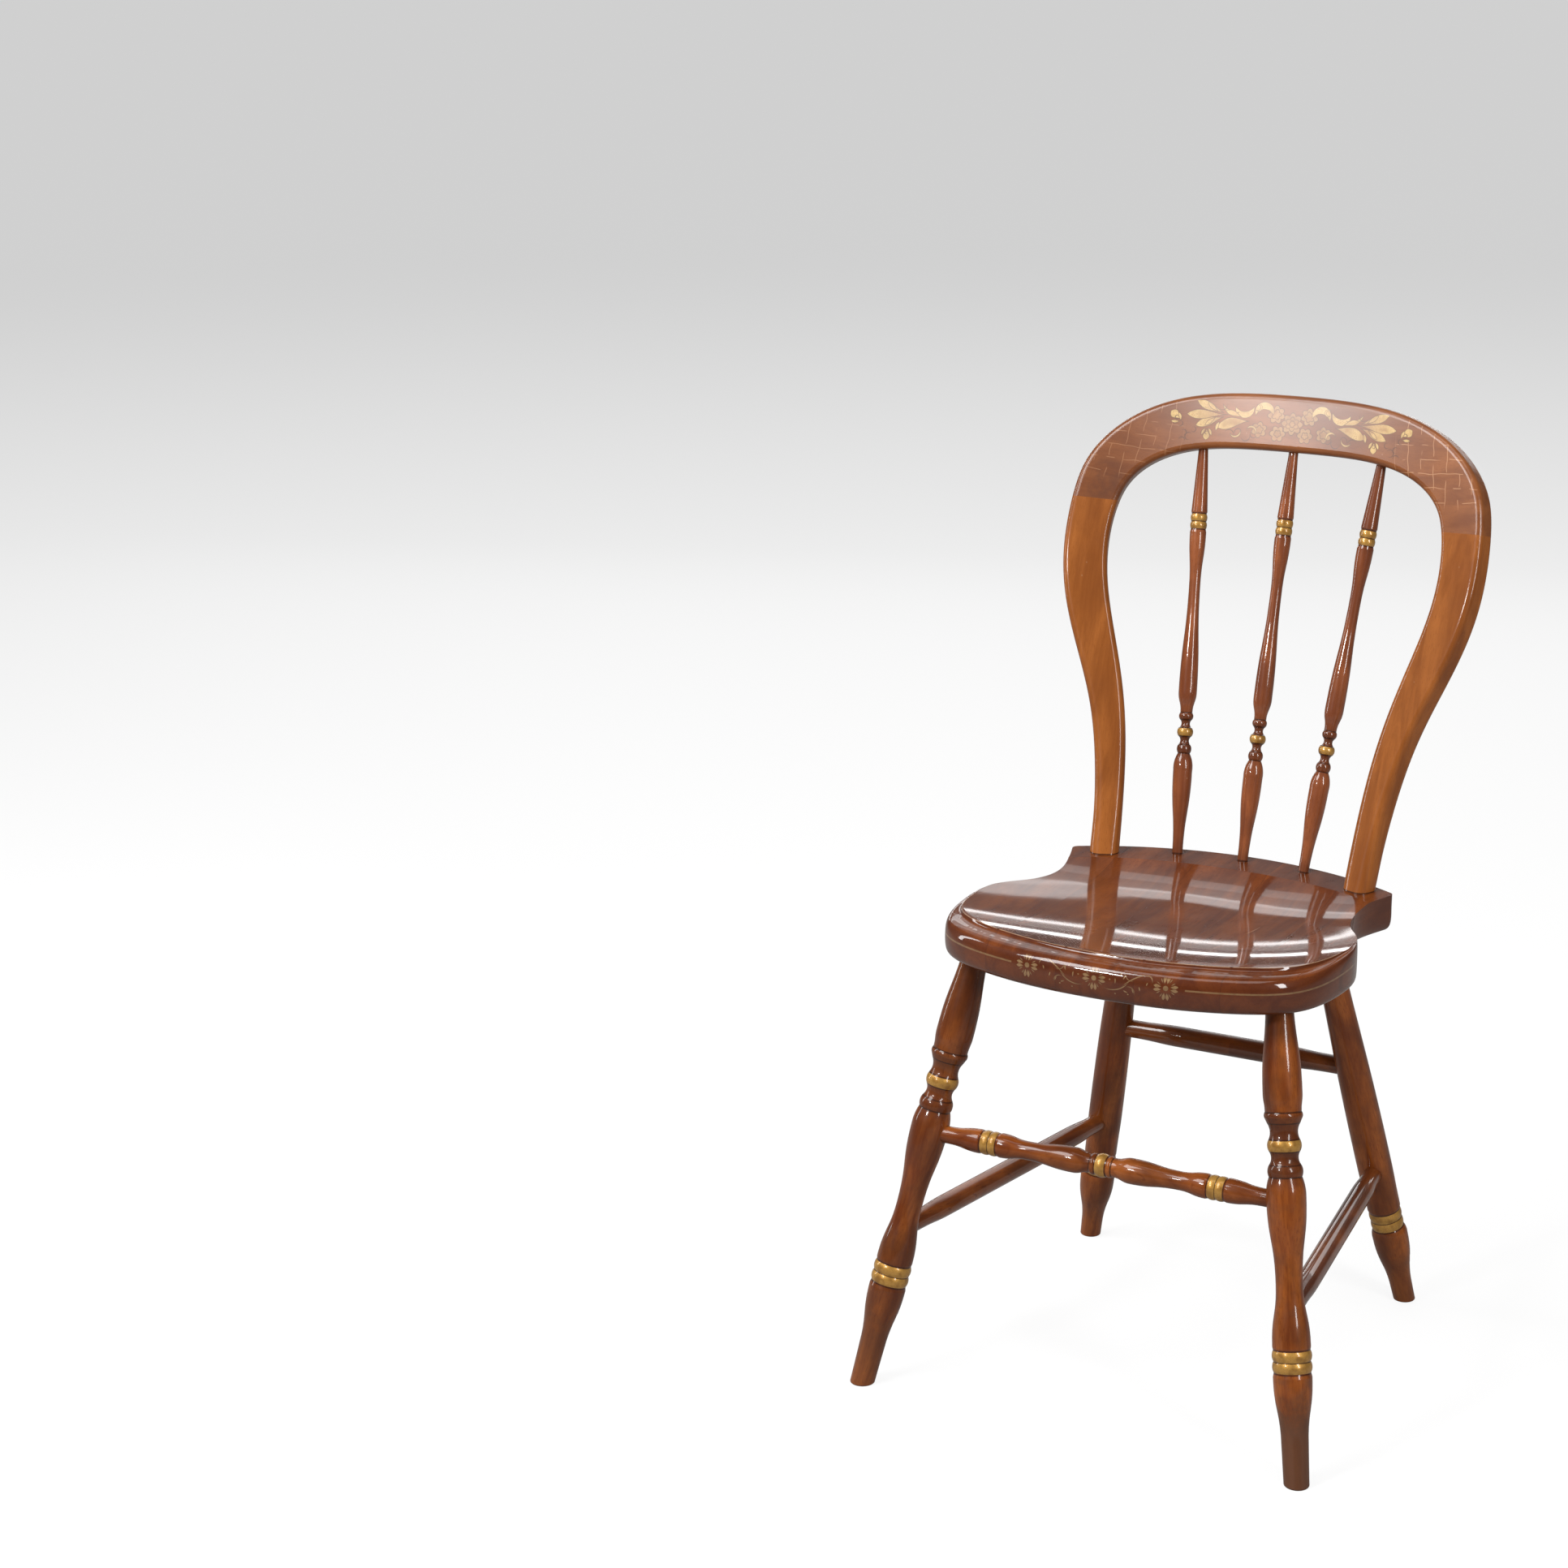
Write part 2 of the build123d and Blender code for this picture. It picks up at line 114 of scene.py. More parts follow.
def makeAxisGroup():
    # distance up a turned piece in mm, and a vector whose Z runs along it
    tree, given, out = newGroup(
        "alongAxis",
        {"Position": (0.0, 0.0, 0.0), "Foot": (0.0, 0.0, 0.0), "Direction": (0.0, 0.0, 1.0)},
        {"Along": 0.0, "Grain": (0.0, 0.0, 0.0)},
    )
    x, y, z = split(tree, given["Position"])
    folded = combine(tree, calc(tree, "ABSOLUTE", x), y, z)
    local = vecCalc(tree, "SUBTRACT", folded, given["Foot"])
    along = vecCalc(tree, "DOT_PRODUCT", local, given["Direction"])
    stem = put(tree, "ShaderNodeVectorMath", {0: given["Direction"]}, operation="SCALE")
    feed(tree, stem.inputs["Scale"], along)
    across = vecCalc(tree, "SUBTRACT", local, stem.outputs[0])
    side = product(tree, calc(tree, "SIGN", x), 0.37)  # other wood left and right
    feed(tree, out["Along"], product(tree, along, 1000.0))
    feed(tree, out["Grain"], vecCalc(tree, "ADD", across, combine(tree, side, side, along)))
    return tree


def makeGrainGroup():
    # stained maple: long soft streaks and short dark flecks, both along Z of the vector
    tree, given, out = newGroup(
        "mapleGrain",
        {"Grain": (0.0, 0.0, 0.0), "Dark": (0.1, 0.02, 0.01, 1.0), "Light": (0.3, 0.1, 0.04, 1.0),
         "Streaks": 0.6, "Flecks": 0.3},
        {"Color": (0.2, 0.08, 0.03, 1.0), "Height": 0.0},
    )
    broad = noise(tree, vecCalc(tree, "MULTIPLY", given["Grain"], (1.0, 1.0, 0.16)), 48.0, 4.0, 0.55, 0.8)
    fine = noise(tree, vecCalc(tree, "MULTIPLY", given["Grain"], (1.0, 1.0, 0.05)), 420.0, 3.0, 0.6)
    fleck = noise(tree, vecCalc(tree, "MULTIPLY", given["Grain"], (1.0, 1.0, 0.10)), 1300.0, 2.0, 0.5)
    streaks = calc(tree, "ADD", ramp(tree, broad, 0.30, 0.72), calc(tree, "MULTIPLY_ADD", fine, 0.6, -0.3))
    centred = calc(tree, "SUBTRACT", streaks, 0.5)
    amount = calc(tree, "MULTIPLY_ADD", centred, given["Streaks"], 0.5, clamp=True)
    color = blend(tree, amount, given["Dark"], given["Light"])
    flecks = product(tree, ramp(tree, fleck, 0.56, 0.70), given["Flecks"])
    feed(tree, out["Color"], blend(tree, flecks, color, given["Dark"]))
    feed(tree, out["Height"], calc(tree, "SUBTRACT", fine, flecks))
    return tree


def makeBandGroup():
    # 1 between From and To, with soft painted ends
    tree, given, out = newGroup(
        "paintedBand",
        {"Along": 0.0, "From": 0.0, "To": 10.0, "Edge": 0.35},
        {"Mask": 0.0},
    )
    middle = product(tree, calc(tree, "ADD", given["From"], given["To"]), 0.5)
    half = product(tree, calc(tree, "SUBTRACT", given["To"], given["From"]), 0.5)
    away = calc(tree, "ABSOLUTE", calc(tree, "SUBTRACT", given["Along"], middle))
    inside = calc(tree, "DIVIDE", calc(tree, "SUBTRACT", half, away), given["Edge"])
    feed(tree, out["Mask"], calc(tree, "ADD", inside, 0.5, clamp=True))
    return tree


def makeGiltGroup():
    # bronze powder in varnish: a little uneven in tone, rubbed through in spots
    tree, given, out = newGroup(
        "bronzePowder",
        {"Position": (0.0, 0.0, 0.0), "Bright": (0.45, 0.27, 0.07, 1.0), "Dull": (0.19, 0.10, 0.03, 1.0),
         "Wear": 0.3},
        {"Color": (0.4, 0.25, 0.06, 1.0), "Cover": 1.0, "Rough": 0.4},
    )
    cloud = noise(tree, given["Position"], 110.0, 3.0, 0.5)
    speck = noise(tree, given["Position"], 1200.0, 3.0, 0.6)
    feed(tree, out["Color"], blend(tree, ramp(tree, cloud, 0.30, 0.62), given["Dull"], given["Bright"]))
    rubbed = ramp(tree, calc(tree, "MULTIPLY_ADD", cloud, 0.7, speck), 0.90, 1.06)
    lost = product(tree, rubbed, given["Wear"])
    feed(tree, out["Cover"], calc(tree, "SUBTRACT", 1.0, lost, clamp=True))
    feed(tree, out["Rough"], ramp(tree, speck, 0.3, 0.7, 0.34, 0.50))
    return tree


def makeWearGroup():
    # old lacquer: clouds of tone, haze in the gloss, small nicks
    tree, given, out = newGroup(
        "oldLacquer",
        {"Position": (0.0, 0.0, 0.0), "Amount": 1.0},
        {"Blotch": 0.5, "Rough": 0.0, "Nick": 0.0, "Height": 0.0},
    )
    cloud = noise(tree, given["Position"], 15.0, 4.0, 0.55)
    haze = noise(tree, given["Position"], 55.0, 5.0, 0.6)
    cell = put(tree, "ShaderNodeTexVoronoi", {"Vector": given["Position"], "Scale": 90.0, "Randomness": 1.0})
    spot = ramp(tree, cell.outputs["Distance"], 0.09, 0.05)
    nick = product(tree, spot, ramp(tree, haze, 0.58, 0.62))
    feed(tree, out["Blotch"], ramp(tree, cloud, 0.36, 0.66))
    feed(tree, out["Rough"], product(tree, ramp(tree, haze, 0.4, 0.75), given["Amount"]))
    feed(tree, out["Nick"], product(tree, nick, given["Amount"]))
    feed(tree, out["Height"], noise(tree, given["Position"], 26.0, 2.0, 0.4))
    return tree


def makePetalGroup():
    # depth in mm inside one leaf of a flat drawing: fat near its tip for Skew over 1, curled by Bend
    tree, given, out = newGroup(
        "petal",
        {"Drawing": (0.0, 0.0, 0.0), "Root": (0.0, 0.0, 0.0), "Angle": 0.0, "Length": 10.0, "Width": 3.0,
         "Bend": 0.0, "Skew": 1.0},
        {"Inside": 0.0, "Share": 0.0},
    )
    moved = vecCalc(tree, "SUBTRACT", given["Drawing"], given["Root"])
    turned = put(tree, "ShaderNodeVectorRotate", {"Vector": moved}, rotation_type="Z_AXIS")
    feed(tree, turned.inputs["Angle"], product(tree, given["Angle"], -math.pi / 180))
    along, across = split(tree, turned.outputs[0])[:2]
    share = calc(tree, "DIVIDE", along, given["Length"])
    curl = product(tree, product(tree, share, share), given["Bend"])
    skewed = calc(tree, "POWER", calc(tree, "MAXIMUM", share, 0.0), given["Skew"])
    width = product(tree, product(tree, skewed, calc(tree, "SUBTRACT", 1.0, skewed)), 4.0)
    away = calc(tree, "ABSOLUTE", calc(tree, "SUBTRACT", across, curl))
    reach = calc(tree, "SUBTRACT", product(tree, width, given["Width"]), away)
    # nothing before the root or past the tip
    before = product(tree, along, -1.0)
    past = calc(tree, "SUBTRACT", along, given["Length"])
    beyond = calc(tree, "MAXIMUM", before, past)
    feed(tree, out["Inside"], calc(tree, "SUBTRACT", reach, calc(tree, "MAXIMUM", beyond, 0.0)))
    feed(tree, out["Share"], calc(tree, "MINIMUM", share, 1.0, clamp=True))
    return tree


def makeCurlGroup():
    # depth in mm inside a brush stroke along an arc, thin at both ends
    tree, given, out = newGroup(
        "curl",
        {"Drawing": (0.0, 0.0, 0.0), "Centre": (0.0, 0.0, 0.0), "Radius": 5.0,
         "Middle": 0.0, "Half": 90.0, "Thick": 1.0},
        {"Inside": 0.0},
    )
    moved = vecCalc(tree, "SUBTRACT", given["Drawing"], given["Centre"])
    turned = put(tree, "ShaderNodeVectorRotate", {"Vector": moved}, rotation_type="Z_AXIS")
    feed(tree, turned.inputs["Angle"], product(tree, given["Middle"], -math.pi / 180))
    x, y = split(tree, turned.outputs[0])[:2]
    angle = product(tree, calc(tree, "ARCTAN2", y, x), 180 / math.pi)
    share = calc(tree, "DIVIDE", calc(tree, "ABSOLUTE", angle), given["Half"])
    width = calc(tree, "SUBTRACT", 1.0, product(tree, share, share))
    away = calc(tree, "ABSOLUTE", calc(tree, "SUBTRACT", vecCalc(tree, "LENGTH", moved), given["Radius"]))
    half = product(tree, width, product(tree, given["Thick"], 0.5))
    feed(tree, out["Inside"], calc(tree, "SUBTRACT", half, away))
    return tree


def makeBlossomGroup():
    # depth in mm inside a lobed flower head
    tree, given, out = newGroup(
        "blossom",
        {"Drawing": (0.0, 0.0, 0.0), "Centre": (0.0, 0.0, 0.0), "Radius": 5.0,
         "Lobes": 5.0, "Turn": 0.0, "Depth": 0.3},
        {"Inside": 0.0},
    )
    moved = vecCalc(tree, "SUBTRACT", given["Drawing"], given["Centre"])
    x, y = split(tree, moved)[:2]
    angle = calc(tree, "ADD", calc(tree, "ARCTAN2", y, x), given["Turn"])
    halfTurns = product(tree, angle, product(tree, given["Lobes"], 0.5))
    lobe = calc(tree, "ABSOLUTE", calc(tree, "COSINE", halfTurns))
    notch = product(tree, calc(tree, "SUBTRACT", 1.0, lobe), given["Depth"])
    edge = product(tree, given["Radius"], calc(tree, "SUBTRACT", 1.0, notch))
    feed(tree, out["Inside"], calc(tree, "SUBTRACT", edge, vecCalc(tree, "LENGTH", moved)))
    return tree


alongAxis = makeAxisGroup()
mapleGrain = makeGrainGroup()
paintedBand = makeBandGroup()
bronzePowder = makeGiltGroup()
oldLacquer = makeWearGroup()
petal = makePetalGroup()
curl = makeCurlGroup()
blossom = makeBlossomGroup()
print("effects made")


def startMaterial(name):
    material = bpy.data.materials.new(name)
    material.use_nodes = True
    tree = material.node_tree
    tree.nodes.clear()
    position = put(tree, "ShaderNodeTexCoord").outputs["Object"]
    return material, tree, position


def finishMaterial(tree, color, roughness, height, look, metallic=0.0):
    relief = {"Strength": look["bump"], "Distance": look["depth"], "Height": height}
    bump = put(tree, "ShaderNodeBump", relief)
    shader = put(tree, "ShaderNodeBsdfPrincipled", {
        "Base Color": color, "Roughness": roughness, "Metallic": metallic, "Normal": bump.outputs[0],
        "Specular IOR Level": look["specular"],
        "Coat Weight": look["coat"], "Coat Roughness": look["coatRough"], "Coat IOR": look["coatIor"],
    })
    put(tree, "ShaderNodeOutputMaterial", {"Surface": shader.outputs[0]})


def lacquerTone(tree, position, grain, look):
    # stained grain under clouded lacquer: colour, roughness and height
    wood = useGroup(tree, mapleGrain, Grain=grain, Dark=look["dark"], Light=look["light"],
                    Streaks=look["streaks"], Flecks=look["flecks"])
    age = useGroup(tree, oldLacquer, Position=position, Amount=look["age"])
    clouded = product(tree, age["Blotch"], look["clouding"])
    shaded = blend(tree, clouded, wood["Color"], look["cloud"])
    nicked = blend(tree, age["Nick"], shaded, look["nick"])
    roughness = calc(tree, "MULTIPLY_ADD", age["Rough"], look["haze"], look["rough"])
    swell = product(tree, age["Height"], look["waves"])
    height = calc(tree, "MULTIPLY_ADD", wood["Height"], look["pores"], swell)
    return nicked, roughness, height


def gild(tree, position, mask, color, roughness, look):
    powder = useGroup(tree, bronzePowder, Position=position, Bright=look["giltBright"], Dull=look["giltDull"],
                      Wear=look["giltWear"])
    cover = product(tree, mask, powder["Cover"])
    metallic = product(tree, cover, look["giltMetal"])
    tone = blend(tree, cover, color, powder["Color"])
    rough = mixNumber(tree, cover, roughness, powder["Rough"])
    return tone, rough, metallic


def bandsOf(tree, along, bands):
    mask = 0.0
    for low, high in bands:
        band = useGroup(tree, paintedBand, Along=along, From=low, To=high)["Mask"]
        mask = calc(tree, "MAXIMUM", mask, band)
    return mask


# edge of the stencil, and half width of the dark line round a shape in mm
brush = {"sharpness": 2.6, "leafRim": 0.55, "strokeRim": 0.45}


def flat(place):
    return (place[0], place[1], 0.0)


def filled(tree, inside, sharpness=brush["sharpness"]):
    # depth inside a shape turned into its mask
    return calc(tree, "MULTIPLY_ADD", inside, sharpness, 0.5, clamp=True)


def layOver(tree, drawn, inside, tone, rim):
    # lays one shape over the drawing so far: gilt inside it, a dark line of half width rim along its edge
    gilt, ink = drawn
    mask = filled(tree, inside)
    gilt = mixNumber(tree, mask, gilt, tone)
    away = calc(tree, "DIVIDE", calc(tree, "ABSOLUTE", inside), rim)
    edge = calc(tree, "SUBTRACT", 1.0, away, clamp=True)
    ink = calc(tree, "MAXIMUM", product(tree, ink, calc(tree, "SUBTRACT", 1.0, mask)), edge)
    return gilt, ink


def layPetals(tree, drawing, drawn, petals, rim=brush["leafRim"], tone=1.0):
    for root, angle, length, width, bend, skew, fade in petals:
        leaf = useGroup(tree, petal, Drawing=drawing, Root=flat(root), Angle=angle, Length=length,
                        Width=width, Bend=bend, Skew=skew)
        faded = tone
        if fade:
            faded = calc(tree, "MULTIPLY_ADD", calc(tree, "SUBTRACT", leaf["Share"], 1.0), fade * tone, tone)
        drawn = layOver(tree, drawn, leaf["Inside"], faded, rim)
    return drawn


def strokeInside(tree, drawing, stroke):
    centre, radius, middle, half, thick = stroke
    return useGroup(tree, curl, Drawing=drawing, Centre=flat(centre), Radius=radius,
                    Middle=middle, Half=half, Thick=thick)["Inside"]


def layCurls(tree, drawing, drawn, curls, rim=brush["strokeRim"], tone=1.0):
    for stroke in curls:
        drawn = layOver(tree, drawn, strokeInside(tree, drawing, stroke), tone, rim)
    return drawn


def inkCurls(tree, drawing, drawn, curls):
    # dark strokes without gilt
    gilt, ink = drawn
    for stroke in curls:
        ink = calc(tree, "MAXIMUM", ink, filled(tree, strokeInside(tree, drawing, stroke)))
    return gilt, ink


turnedLook = {
    "dark": (0.118, 0.022, 0.003, 1.0), "light": (0.310, 0.088, 0.016, 1.0), "streaks": 0.95, "flecks": 0.6,
    "cloud": (0.052, 0.014, 0.005, 1.0), "clouding": 0.60, "nick": (0.36, 0.20, 0.11, 1.0), "age": 0.35,
    "rough": 0.36, "haze": 0.18, "bump": 0.06, "depth": 0.0004, "pores": 0.10, "waves": 0.35,
    "specular": 0.10, "coat": 0.55, "coatRough": 0.08, "coatIor": 1.5,
    "giltBright": (0.47, 0.255, 0.058, 1.0), "giltDull": (0.27, 0.130, 0.028, 1.0),
    "giltWear": 0.35, "giltMetal": 0.45,
    "bare": (0.088, 0.036, 0.018, 1.0), "scuffedTo": 100.0, "leftShare": 0.4, "scuffRough": 0.7,
    # painted shade: colour and soft edge of the darker bands round the beads and under the seat
    "shadeTone": (0.042, 0.012, 0.005, 1.0), "shadeEdge": 14.0,
    "seam": (0.030, 0.008, 0.003, 1.0), "seamStrength": 0.8,
}


def turnedMaterial(name, piece, look=turnedLook):
    # a turned piece: grain and rings follow its own axis from foot to head
    material, tree, position = startMaterial(name)
    foot, head = Vector(piece["foot"]), Vector(piece["head"])
    axis = useGroup(tree, alongAxis, Position=position, Foot=foot, Direction=(head - foot).normalized())
    along = axis["Along"]
    color, roughness, height = lacquerTone(tree, position, axis["Grain"], look)
    for low, high, strength in piece.get("shadeBands", ()):
        # painted shade: darker bands round the beads, under the seat and where the spindles meet it
        band = useGroup(tree, paintedBand, Along=along, From=low, To=high, Edge=look["shadeEdge"])["Mask"]
        color = blend(tree, product(tree, band, strength), color, look["shadeTone"])
    if "footWear" in piece:
        # dull and scuffed towards the floor, more on the right
        scuff = noise(tree, position, 60.0, 5.0, 0.65)
        low = ramp(tree, along, look["scuffedTo"], 0.0)
        x = split(tree, position)[0]
        share = ramp(tree, x, -0.01, 0.01, piece["footWear"] * look["leftShare"], piece["footWear"])
        bare = product(tree, ramp(tree, calc(tree, "ADD", scuff, low), 0.45, 1.05), share)
        color = blend(tree, bare, color, look["bare"])
        roughness = calc(tree, "MAXIMUM", roughness, product(tree, bare, look["scuffRough"]))
    gilded = bandsOf(tree, along, piece["bands"])
    color, roughness, metallic = gild(tree, position, gilded, color, roughness, look)
    # dark lacquer has settled in the grooves
    grooves = product(tree, bandsOf(tree, along, piece["seams"]), look["seamStrength"])
    color = blend(tree, grooves, color, look["seam"])
    finishMaterial(tree, color, roughness, height, look, metallic)
    return material


def assign(material, *names):
    for name in names:
        nodes[name].material_slots[0].material = material


# foot and head are ends of the axis in m; bands, seams and painted shade bands are in mm above the foot
frontLeg = {"foot": (0.218, -0.2455, 0.0), "head": (0.1496, -0.1512, 0.411), "footWear": 0.9,
            "bands": ((101.4, 120.8), (298.2, 307.8)),
            "seams": ((99.8, 101.2), (110.5, 111.5), (120.9, 122.4), (274.3, 275.9), (285.0, 286.2),
                      (296.9, 298.1), (307.9, 309.2), (322.3, 323.6), (332.2, 333.8)),
            "shadeBands": ((272.0, 330.0, 0.40), (124.0, 160.0, 0.30), (396.0, 420.0, 0.45))}
rearLeg = {"foot": (0.1715, 0.182, 0.0), "head": (0.0967, 0.0948, 0.411), "footWear": 0.35,
           "bands": ((86.2, 104.8),),
           "seams": ((84.9, 86.2), (95.0, 96.0), (104.8, 106.2)),
           "shadeBands": ((385.0, 420.0, 0.45), (106.0, 125.0, 0.25))}
assign(turnedMaterial("frontLegLacquer", frontLeg), "front_left_leg", "front_right_leg")
assign(turnedMaterial("rearLegLacquer", rearLeg), "rear_left_leg", "rear_right_leg")

# its rings are in mm from its middle, the same on both sides
stretcher = {"foot": (0.0, -0.1897, 0.243), "head": (0.1, -0.1897, 0.243),
             "bands": ((-4.7, 4.7), (105.4, 120.2)),
             "seams": ((4.7, 5.9), (10.2, 11.4), (112.3, 113.1), (104.0, 105.2), (120.4, 121.8))}
assign(turnedMaterial("frontStretcherLacquer", stretcher), "front_stretcher")

rodLook = dict(turnedLook, dark=(0.092, 0.018, 0.003, 1.0), light=(0.225, 0.060, 0.011, 1.0),
               cloud=(0.050, 0.013, 0.004, 1.0), bump=0.03, coat=1.0, coatRough=0.05)


def rodMaterial(name, direction):
    material, tree, position = startMaterial(name)
    axis = useGroup(tree, alongAxis, Position=position, Direction=Vector(direction).normalized())
    color, roughness, height = lacquerTone(tree, position, axis["Grain"], rodLook)
    finishMaterial(tree, color, roughness, height, rodLook)
    return material


assign(rodMaterial("rearRodLacquer", (1, 0, 0)), "rear_stretcher")
assign(rodMaterial("sideRodLacquer", (-0.06, 0.36, -0.006)), "left_side_stretcher", "right_side_stretcher")

spindleLook = dict(turnedLook, dark=(0.150, 0.038, 0.012, 1.0), light=(0.290, 0.088, 0.030, 1.0),
                   cloud=(0.105, 0.028, 0.012, 1.0), coat=0.9, coatRough=0.05)
spindle = {"foot": (0.0655, 0.1291, 0.446), "head": (0.0914, 0.2308, 0.8313),
           "bands": ((116.2, 123.8), (320.4, 334.6)),
           "seams": ((98.4, 99.6), (107.1, 108.0), (115.2, 116.4), (123.7, 124.9), (131.5, 132.7),
                     (138.5, 139.7), (327.0, 328.0), (319.0, 320.2), (334.8, 336.0), (-1.0, 1.0)),
           "shadeBands": ((98.0, 140.0, 0.55), (-20.0, 12.0, 0.30), (318.0, 337.0, 0.35))}
middleSpindle = dict(spindle, foot=(0.0, 0.1365, 0.446), head=(0.0, 0.2348, 0.8313))
assign(turnedMaterial("sideSpindleLacquer", spindle, spindleLook), "left_spindle", "right_spindle")
assign(turnedMaterial("middleSpindleLacquer", middleSpindle, spindleLook), "centre_spindle")
print("turnings finished")

postLook = dict(turnedLook, dark=(0.185, 0.052, 0.009, 1.0), light=(0.350, 0.114, 0.024, 1.0),
                cloud=(0.145, 0.040, 0.009, 1.0), clouding=0.35, streaks=0.75, flecks=0.45,
                coat=0.45, coatRough=0.10, lean=0.26, ledge=446.0,
                # painted shadow line round each post foot: its height, colour and strength
                footLine=1.4, footShadow=(0.020, 0.006, 0.003, 1.0), footShadowStrength=0.85)


def postMaterial():
    material, tree, position = startMaterial("postLacquer")
    x, y, z = split(tree, position)
    grain = combine(tree, x, calc(tree, "SUBTRACT", y, product(tree, z, postLook["lean"])), z)
    color, roughness, height = lacquerTone(tree, position, grain, postLook)
    # painted shadow line round the foot, where it stands on the ledge
    above = calc(tree, "MULTIPLY_ADD", z, 1000.0, -postLook["ledge"])
    foot = ramp(tree, above, postLook["footLine"], postLook["footLine"] * 0.5)
    color = blend(tree, product(tree, foot, postLook["footShadowStrength"]), color, postLook["footShadow"])
    finishMaterial(tree, color, roughness, height, postLook)
    return material


assign(postMaterial(), "left_back_post", "right_back_post")

crestLook = dict(postLook, dark=(0.160, 0.046, 0.011, 1.0), light=(0.285, 0.096, 0.026, 1.0),
                 cloud=(0.120, 0.036, 0.013, 1.0), clouding=0.5, coat=0.9, coatRough=0.25,
                 giltBright=(0.47, 0.315, 0.115, 1.0), giltDull=(0.31, 0.180, 0.062, 1.0),
                 giltWear=0.55, giltMetal=0.2, ink=(0.070, 0.028, 0.012, 1.0), inkStrength=0.85,
                 blossomTone=0.36, blossomRim=0.75, scrollTone=0.85,
                 seatTop=0.4489, rake=14.5, facing=(-0.55, -0.8))
# the drawing is in mm: distance from the middle, and rise along the rake above the seat
crestLeaves = (  # root, angle, length, width, bend, skew, fade
    ((70.0, 434.0), 18.0, 30.0, 4.0, 1.5, 1.6, 0.6),
    ((70.0, 430.0), -18.0, 29.0, 4.2, -1.0, 1.6, 0.6),
    ((66.0, 432.5), -3.0, 41.0, 4.6, 0.5, 1.9, 0.7),
    ((76.0, 435.0), 34.0, 14.0, 2.0, 1.0, 1.3, 0.4),
    ((78.0, 429.0), -36.0, 13.0, 1.8, -1.0, 1.3, 0.4),
    ((113.0, 425.5), 36.0, 12.5, 4.2, 0.0, 1.7, 0.0),
    ((112.5, 424.0), 78.0, 8.0, 1.5, -1.0, 1.2, 0.1),
    ((114.0, 423.0), -8.0, 8.0, 1.5, 1.0, 1.2, 0.1),
    ((44.0, 427.5), -2.0, 32.0, 5.4, -6.5, 1.6, 0.55),
    ((52.0, 431.0), 24.0, 17.0, 2.6, -2.0, 1.4, 0.5),
    ((74.0, 425.0), -64.0, 9.0, 1.6, -1.5, 1.0, 0.2),
    ((85.5, 418.0), -90.0, 11.5, 3.2, 0.0, 1.7, 0.0),
    ((84.0, 418.0), -128.0, 7.5, 1.4, 1.4, 1.1, 0.1),
    ((87.0, 418.0), -52.0, 7.5, 1.4, -1.4, 1.1, 0.1),
)
crestScrolls = (  # centre, radius, middle of the arc, half of it, thickness
    ((49.5, 443.0), 9.4, 266.0, 80.0, 6.4),
    ((29.0, 435.0), 8.8, 86.0, 92.0, 7.2),
    ((60.0, 447.0), 12.5, 292.0, 46.0, 3.0),
    ((36.0, 441.5), 3.2, 180.0, 120.0, 1.6),
    ((41.0, 417.5), 5.0, 120.0, 90.0, 2.2),
    ((57.0, 417.0), 5.4, 250.0, 80.0, 1.8),
)
crestInk = (  # the same for the dark curls between the leaves
    ((116.5, 427.0), 1.9, 0.0, 180.0, 0.9),
    ((112.5, 421.0), 2.4, 200.0, 120.0, 0.9),
    ((103.0, 409.0), 3.6, 20.0, 130.0, 0.9),
    ((99.0, 416.0), 2.6, 200.0, 120.0, 0.8),
    ((108.5, 412.5), 2.8, 160.0, 110.0, 0.9),
    ((109.5, 404.5), 3.2, 100.0, 90.0, 0.8),
    ((46.0, 412.5), 4.4, 250.0, 100.0, 0.9),
    ((54.0, 416.0), 3.6, 60.0, 110.0, 0.8),
    ((38.0, 415.0), 3.4, 300.0, 110.0, 0.8),
    ((63.0, 413.5), 4.6, 110.0, 80.0, 0.8),
    ((72.0, 441.0), 4.2, 240.0, 90.0, 0.7),
    ((85.5, 413.5), 1.5, 0.0, 180.0, 0.7),
)
crestBlossoms = (  # centre, radius, lobes, turn, depth of the notches
    ((33.0, 420.0), 8.0, 6.0, 0.4, 0.32),
    ((33.0, 420.0), 4.2, 5.0, 0.9, 0.30),
    ((17.0, 436.0), 9.0, 7.0, 0.2, 0.30),
    ((17.0, 436.0), 5.2, 5.0, 0.7, 0.35),
    ((14.0, 417.5), 8.0, 6.0, 0.0, 0.30),
    ((14.0, 417.5), 3.6, 5.0, 0.3, 0.30),
    ((0.0, 428.0), 11.0, 8.0, 0.0, 0.28),
    ((0.0, 428.0), 7.0, 6.0, 0.5, 0.34),
    ((0.0, 428.0), 3.2, 5.0, 0.0, 0.30),
)


